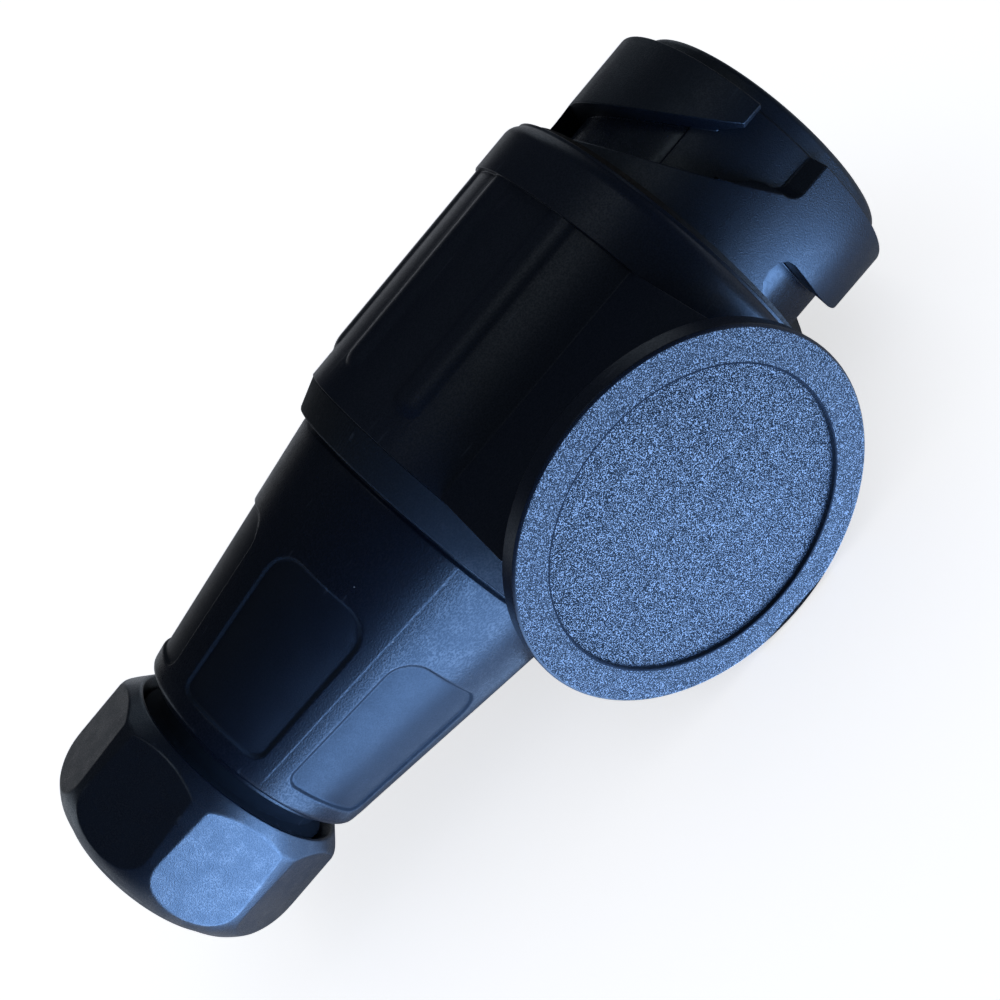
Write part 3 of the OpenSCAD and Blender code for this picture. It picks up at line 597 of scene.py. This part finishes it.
def makeShell():
    s = shell
    coneX = -s["bandLong"]
    coneEndX = coneX - s["coneLong"]
    slope = (s["coneTop"] - s["coneEnd"]) / s["coneLong"]
    neckX = coneEndX - s["neckLong"]
    seatX = neckX + s["seatDepth"]
    footX = coneEndX - s["footLong"]
    reliefX = coneEndX - s["reliefLong"]
    grooveFront = s["spigotLong"] / 2 + s["grooveHalf"]
    grooveRear = s["spigotLong"] / 2 - s["grooveHalf"]
    grooveFloor = s["spigot"] - s["grooveDeep"]
    gapFloor = s["coneTop"] - s["gap"]
    rearX, frontX = coneEndX + s["panelRear"], coneX - s["panelFront"]
    frontFrom, frontTo = frontX - s["panelRound"], frontX + s["panelEnd"]
    rearFrom, rearTo = rearX - s["panelEnd"], rearX + s["rearRound"]

    def skin(along):
        return s["coneEnd"] + slope * (along - coneEndX)

    spigotAndBand = [
        (s["spigotLong"], s["spigotIn"], small), (s["spigotLong"], s["spigot"], full),
        (grooveFront, s["spigot"], crisp), (grooveFront, grooveFloor, crisp),
        (grooveRear, grooveFloor, crisp), (grooveRear, s["spigot"], crisp),
        (0, s["spigot"], crisp), (0, s["bandFront"], fine),
        (coneX, s["bandEnd"], s["bandRound"]), (coneX, gapFloor, crisp),
        (coneX - s["gapLong"], gapFloor, crisp),
        (coneX - s["gapEnd"], s["coneTop"] - s["gapEnd"] * slope, fine)]
    panelEnds = [(x, skin(x), s["stationRound"]) for x in (frontTo, frontFrom, rearTo, rearFrom)]
    coneEndAndNeck = [
        (coneEndX + s["lip"], s["coneEnd"], wide), (coneEndX, s["coneEnd"] - s["lip"], easy),
        (coneEndX, s["foot"], fine), (footX, s["foot"], fine),
        (footX, s["relief"], crisp), (reliefX, s["relief"], crisp),
        (reliefX - s["reliefRise"], s["neck"], crisp), (neckX, s["neck"], full)]
    inside = [
        (neckX, s["neckBore"], small), (seatX, s["neckBore"], small), (seatX, s["throat"], small),
        (coneEndX + s["lip"], s["throat"], small), (coneEndX + s["wall"], s["coneEnd"] - s["wall"], small),
        (coneX, s["coneTop"] - s["wall"], small), (0, s["spigotIn"], small)]

    # closer stations on the cone's skin, closest where the panels end
    def limit(here, there):
        along, radius = (here + there) / 2
        if radius < skin(along) - s["skinDeep"] or not coneEndX < along < coneX:
            return s["plainStep"]
        atEnd = frontFrom < along < frontTo or rearFrom < along < rearTo
        return s["endStep"] if atEnd else s["skinStep"]

    corners = spigotAndBand + panelEnds + coneEndAndNeck + inside
    profile = divided(softProfile(corners, s["cornerSteps"]), limit)

    # distance past two sides of a panel that meet in a round corner
    def pastCorner(side, end, bow):
        corner = np.hypot(np.maximum(side + bow, 0), np.maximum(end + bow, 0)) - bow
        return np.where((side > -bow) | (end > -bow), corner, np.maximum(side, end))

    # share of a panel: signed distance to its slanted sides and round corners, eased over the wall's width
    def panelShare(along, radius, turn):
        lean = leanFrom(turn, s["panelTurn"], 2 * math.pi / s["panels"])
        half = math.sin(math.radians(s["panelSpan"] / 2))
        halfRear, halfFront = skin(rearX) * half, skin(frontX) * half
        tilt = (halfFront - halfRear) / (frontX - rearX)
        side = (np.abs(radius * np.sin(lean)) - halfRear - tilt * (along - rearX)) / math.hypot(1, tilt)
        sideIn = np.maximum(side + s["panelRound"], 0)
        frontIn = np.maximum(along - frontX + s["panelRound"], 0)
        frontShare = frontIn ** 2 / (sideIn ** 2 + frontIn ** 2 + 1e-9)
        edge = s["edge"] + (s["frontEdge"] - s["edge"]) * frontShare
        away = np.maximum(pastCorner(side, along - frontX, s["panelRound"]),
                          pastCorner(side, rearX - along, s["rearRound"]))
        return smooth(np.clip(0.5 - away / edge, 0, 1))

    # the panels sink the skin, and each moulding line is a small step that fades round the cone
    def field(along, radius, turn):
        outer = np.abs(radius - skin(along)) < s["skinNear"]
        outer = outer & (along < coneX - s["skinIn"]) & (along > coneEndX + s["skinIn"])
        share = np.where(outer, panelShare(along, radius, turn), 0)
        past = radius * np.sin(leanFrom(turn, s["seamTurn"], math.pi))
        seam = smooth(np.clip(0.5 + past / s["seamRise"], 0, 1)) * np.clip(1 - past / s["seamFall"], 0, 1)
        seam = seam * np.clip((along - coneEndX - s["seamIn"]) / s["seamFade"], 0, 1)
        seam = seam * np.clip((coneX - s["seamOut"] - along) / s["seamFade"], 0, 1)
        return radius - s["panelDeep"] * share + np.where(outer, s["seamHigh"] * seam, 0), share

    # even turns, with more of them across the panels' sides and the moulding lines
    even = np.arange(round(360 / s["turnStep"])) * s["turnStep"]
    middles = [s["panelTurn"] + k * 360 / s["panels"] for k in range(s["panels"])]
    sides = [middle + way * s["panelSpan"] / 2 for middle in middles for way in (-1, 1)]
    sideTurns = np.arange(-s["sideReach"], s["sideReach"], s["sideStep"])
    seamTurns = np.arange(-s["seamReach"], s["seamReach"] + s["seamStep"] / 2, s["seamStep"])
    extra = [sideTurns + side for side in sides]
    extra += [seamTurns + s["seamTurn"] + half for half in (0, 180)]
    turns = np.unique(np.round(np.concatenate([even] + extra) % 360, 3))
    turns = turns[np.concatenate([[True], np.diff(turns) > s["leastTurn"]])]
    turns = np.radians(turns)
    shown = carriedRound("coneShell", profile, turns, field, shellPlastic, "housing", "rear_shell")


makeShell()

# cable bush, in millimetres: a sleeve in the neck, and a head that the nut flattens against the neck's end
bush = {"bore": 6.5, "sleeve": 13.0, "front": -50.05, "neckEnd": -58.45, "head": 14.92, "rear": -62.35,
        "part": 0.02, "round": 0.4, "step": 1.0, "turns": 120, "kept": 0.28}


def makeBush():
    b = bush
    turns = np.arange(b["turns"]) * 2 * math.pi / b["turns"]

    # plain round tube: the radius stays as the profile has it
    def field(along, radius, turn):
        return radius, 0 * radius

    runs = {"bushSleeve": (b["front"], b["neckEnd"] + b["part"], b["sleeve"]),
            "bushHead": (b["neckEnd"], b["rear"], b["head"])}
    for name, (front, rear, outer) in runs.items():
        places = ((front, b["bore"]), (front, outer), (rear, outer), (rear, b["bore"]))
        corners = [(x, r, b["round"]) for x, r in places]
        profile = divided(softProfile(corners), lambda here, there: b["step"])
        shown = carriedRound(name, profile, turns, field, blackRubber, "housing", "cable_seal")
    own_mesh(shown)


makeBush()
print("nut, shell and bush built")

# floor: pale, seen white by the camera, darker only where the plug shades it
stage = {"half": 3.0, "color": (0.80, 0.80, 0.80, 1), "rough": 0.8, "shine": 0.1, "lift": 0.66}


def seenPlainly(tree):
    path = put(tree, "ShaderNodeLightPath").outputs
    return path, calc(tree, "ADD", path["Is Camera Ray"], path["Is Transmission Ray"], clamp=True)


def makeFloor():
    half = stage["half"]
    mesh = bpy.data.meshes.new("floor")
    corners = [(-half, -half, 0), (half, -half, 0), (half, half, 0), (-half, half, 0)]
    mesh.from_pydata(corners, [], [(0, 1, 2, 3)])
    floor = bpy.data.objects.new("floor", mesh)
    bpy.context.scene.collection.objects.link(floor)
    material, tree, shader = newMaterial("paleFloor")
    setPlain(shader, {"Base Color": stage["color"], "Roughness": stage["rough"],
                      "Specular IOR Level": stage["shine"], "Emission Color": plainWhite})
    path, seen = seenPlainly(tree)
    tree.links.new(calc(tree, "MULTIPLY", seen, stage["lift"]), shader.inputs["Emission Strength"])
    mesh.materials.append(material)


makeFloor()

# lamps: cool ones low in front for the lit faces, warmer and paler ones above and behind
cool = (0.335, 0.565, 1.0)
pale = (0.86, 0.93, 1.0)
lamps = {
    "windowLow": dict(place=(-0.076, -0.30, 0.012), aim=(-0.076, 0.0, 0.012), size=(0.150, 0.020),
                      power=0.172, color=cool),
    "tableGlow": dict(place=(-0.043, -0.146, 0.001), aim=(-0.043, -0.146, 1.0), size=(0.216, 0.232),
                      power=1.07, color=cool),
    "tableNear": dict(place=(-0.031, -0.018, 0.001), aim=(-0.031, -0.018, 1.0), size=(0.038, 0.024),
                      power=0.0035, color=cool),
    "backFill": dict(place=(-0.30, 0.55, 0.10), aim=(-0.05, 0.0, 0.03), size=(0.40, 0.16),
                     power=0.027, color=(1.0, 0.98, 0.95)),
    "topSoft": dict(place=(0.0, 0.30, 0.70), aim=(0.0, 0.0, 0.0), size=(0.45, 0.45),
                    power=0.022, color=(1.0, 1.0, 1.0)),
    "topWarm": dict(place=(0.11, -0.13, 0.60), aim=(0.02, 0.0, 0.03), size=(0.24, 0.18),
                    power=0.062, color=(1.0, 0.95, 0.88)),
    "backLeft": dict(place=(-0.60, 0.40, 0.20), aim=(0.0, 0.0, 0.03), size=(0.34, 0.36),
                     power=0.22, color=pale),
    "backRight": dict(place=(0.42, 0.62, 0.26), aim=(0.0, 0.0, 0.03), size=(0.34, 0.36),
                      power=0.16, color=pale),
}


def makeLamp(name, lamp):
    data = bpy.data.lights.new(name, "AREA")
    data.shape = "RECTANGLE"
    data.size, data.size_y = lamp["size"]
    data.energy = lamp["power"]
    data.color = lamp["color"]
    shown = bpy.data.objects.new(name, data)
    shown.location = lamp["place"]
    way = Vector(lamp["aim"]) - Vector(lamp["place"])
    shown.rotation_euler = way.to_track_quat("-Z", "Y").to_euler()
    shown.visible_camera = False
    bpy.context.scene.collection.objects.link(shown)


for name, lamp in lamps.items():
    makeLamp(name, lamp)

# sky: white to the camera, even on matt surfaces, in the gloss dark with a faint band near the horizon
sky = {"even": (0.42, 0.44, 0.48, 1), "dark": (0.008, 0.009, 0.011, 1), "band": (0.028, 0.028, 0.030, 1),
       "rise": 0.3}


def makeSky():
    world = bpy.data.worlds.new("studio")
    bpy.context.scene.world = world
    world.use_nodes = True
    tree = world.node_tree
    path, seen = seenPlainly(tree)
    way = put(tree, "ShaderNodeTexCoord").outputs["Generated"]
    height = put(tree, "ShaderNodeSeparateXYZ", {0: way}).outputs[2]
    gloss = blendColor(tree, ease(tree, height, sky["rise"], 0.0), sky["dark"], sky["band"])
    color = blendColor(tree, path["Is Glossy Ray"], sky["even"], gloss)
    color = blendColor(tree, seen, color, plainWhite)
    tree.links.new(color, tree.nodes["Background"].inputs["Color"])


makeSky()

# camera: metres, degrees and millimetres of lens
view = {"aim": (0.00515, 0.00196, 0.02476), "distance": 0.2, "azimuth": 3.843, "elevation": 37.319,
        "twist": -52.141, "lens": 50.942, "sensor": 36, "nearest": 0.01}


def makeCamera():
    data = bpy.data.cameras.new("camera")
    data.lens = view["lens"]
    data.sensor_width = view["sensor"]
    data.clip_start = view["nearest"]
    camera = bpy.data.objects.new("camera", data)
    side, rise = math.radians(view["azimuth"]), math.radians(view["elevation"])
    back = Vector((math.sin(side) * math.cos(rise), -math.cos(side) * math.cos(rise), math.sin(rise)))
    twist = Matrix.Rotation(math.radians(view["twist"]), 3, "Z")
    turn = (-back).to_track_quat("-Z", "Y").to_matrix() @ twist
    camera.matrix_world = Matrix.Translation(Vector(view["aim"]) + back * view["distance"]) @ turn.to_4x4()
    bpy.context.scene.collection.objects.link(camera)
    bpy.context.scene.camera = camera


makeCamera()
bpy.context.scene.view_settings.view_transform = "Standard"
print("stage, lamps and camera set")
